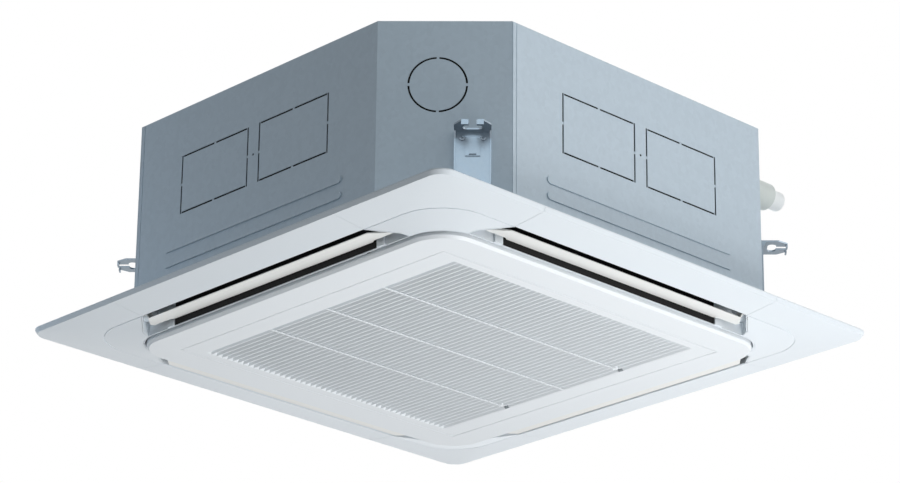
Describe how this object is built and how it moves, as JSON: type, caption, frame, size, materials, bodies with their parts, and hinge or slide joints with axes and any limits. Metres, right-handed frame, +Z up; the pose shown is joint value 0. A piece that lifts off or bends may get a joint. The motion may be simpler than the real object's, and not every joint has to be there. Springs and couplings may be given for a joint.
{
  "type": "ceiling cassette air conditioner",
  "caption": "Recessed square ceiling cassette air conditioner with an octagonal steel cabinet, a white panel with tilting vanes round a hinged louvred grille, and hanger brackets.",
  "frame": {"origin": "centre of the unit in the ceiling plane, which is the top face of the panel's flange", "axes": "+Z up into the ceiling; +X, +Y along the panel's sides, the pipe and drain corner is at +X +Y, the grille hinge at -Y"},
  "size_m": [0.95, 0.95, 0.343],
  "materials": {
    "galvanised": "satin",
    "steel_zinc": "satin",
    "steel_painted": "satin",
    "panel_white": "satin",
    "vane_white": "satin",
    "grille_white": "matt",
    "plastic_grey": "matt",
    "plastic_beige": "matt",
    "plastic_black": "matt",
    "foam_white": "matt",
    "foam_dark": "matt",
    "rubber_black": "matt",
    "fins": "satin",
    "copper": "satin",
    "brass": "satin",
    "board_green": "matt",
    "mesh_grey": "matt"
  },
  "bodies": {
    "unit": {"bell_mouth": "plastic_black", "cabinet_screws": "steel_zinc", "cable_bushing": "rubber_black", "coil_end_plates": "galvanised", "coil_fins": "fins", "coil_tubes": "copper", "control_board": "board_green", "control_box": "galvanised", "control_cover": "galvanised", "corner_cover_back_left": "panel_white", "corner_cover_back_right": "panel_white", "corner_cover_front_left": "panel_white", "corner_cover_front_right": "panel_white", "drain_hose": "rubber_black", "drain_pan": "foam_white", "drain_pump": "plastic_black", "drain_socket": "plastic_beige", "fan_motor": "steel_painted", "float_switch": "plastic_black", "gas_nut": "brass", "gas_pipe": "copper", "hanger_back_left": "steel_zinc", "hanger_back_right": "steel_zinc", "hanger_front_left": "steel_zinc", "hanger_front_right": "steel_zinc", "liquid_nut": "brass", "liquid_pipe": "copper", "motor_mounts": "rubber_black", "motor_nuts": "steel_zinc", "pan_plug": "rubber_black", "panel_frame": "panel_white", "panel_screws": "steel_zinc", "panel_seal": "foam_dark", "pipe_plate": "galvanised", "side_wall_back": "galvanised", "side_wall_front": "galvanised", "side_wall_left": "galvanised", "side_wall_right": "galvanised", "terminal_block": "plastic_beige", "top_liner": "foam_white", "top_plate": "galvanised", "vane_motor_back": "plastic_black", "vane_motor_front": "plastic_black", "vane_motor_left": "plastic_black", "vane_motor_right": "plastic_black", "wall_liner": "foam_dark"},
    "grille": {"intake_grille": "grille_white", "air_filter": "mesh_grey"},
    "latch_left": {"latch_left": "grille_white"},
    "latch_right": {"latch_right": "grille_white"},
    "fan": {"turbofan": "plastic_grey", "motor_shaft": "steel_zinc", "fan_nut": "steel_zinc"},
    "pump_rotor": {"pump_rotor": "plastic_beige"},
    "float": {"float": "foam_white"},
    "vane_front": {"vane_front": "vane_white"},
    "vane_right": {"vane_right": "vane_white"},
    "vane_back": {"vane_back": "vane_white"},
    "vane_left": {"vane_left": "vane_white"}
  },
  "joints": [
    {"name": "grille_hinge", "type": "hinge", "parent": "unit", "child": "grille", "pos_m": [0, -0.352, -0.026], "axis": [-1, 0, 0], "range_deg": [0, 90]},
    {"name": "latch_left_slide", "type": "slide", "parent": "grille", "child": "latch_left", "axis": [0, 1, 0], "range_m": [0, 0.005]},
    {"name": "latch_right_slide", "type": "slide", "parent": "grille", "child": "latch_right", "axis": [0, 1, 0], "range_m": [0, 0.005]},
    {"name": "fan_spin", "type": "hinge", "parent": "unit", "child": "fan", "pos_m": [0, 0, 0.2], "axis": [0, 0, 1], "continuous": true},
    {"name": "pump_spin", "type": "hinge", "parent": "unit", "child": "pump_rotor", "pos_m": [0.3, 0.3, 0.06], "axis": [0, 0, 1], "continuous": true},
    {"name": "float_rise", "type": "slide", "parent": "unit", "child": "float", "axis": [0, 0, 1], "range_m": [0, 0.012]},
    {"name": "vane_front_tilt", "type": "hinge", "parent": "unit", "child": "vane_front", "pos_m": [-0.0085, -0.394, -0.003], "axis": [1, 0, 0], "range_deg": [-16.4, 45]},
    {"name": "vane_right_tilt", "type": "hinge", "parent": "unit", "child": "vane_right", "pos_m": [0.394, -0.0085, -0.003], "axis": [0, 1, 0], "range_deg": [-16.4, 45]},
    {"name": "vane_back_tilt", "type": "hinge", "parent": "unit", "child": "vane_back", "pos_m": [0.0085, 0.394, -0.003], "axis": [-1, 0, 0], "range_deg": [-16.4, 45]},
    {"name": "vane_left_tilt", "type": "hinge", "parent": "unit", "child": "vane_left", "pos_m": [-0.394, 0.0085, -0.003], "axis": [0, -1, 0], "range_deg": [-16.4, 45]}
  ]
}
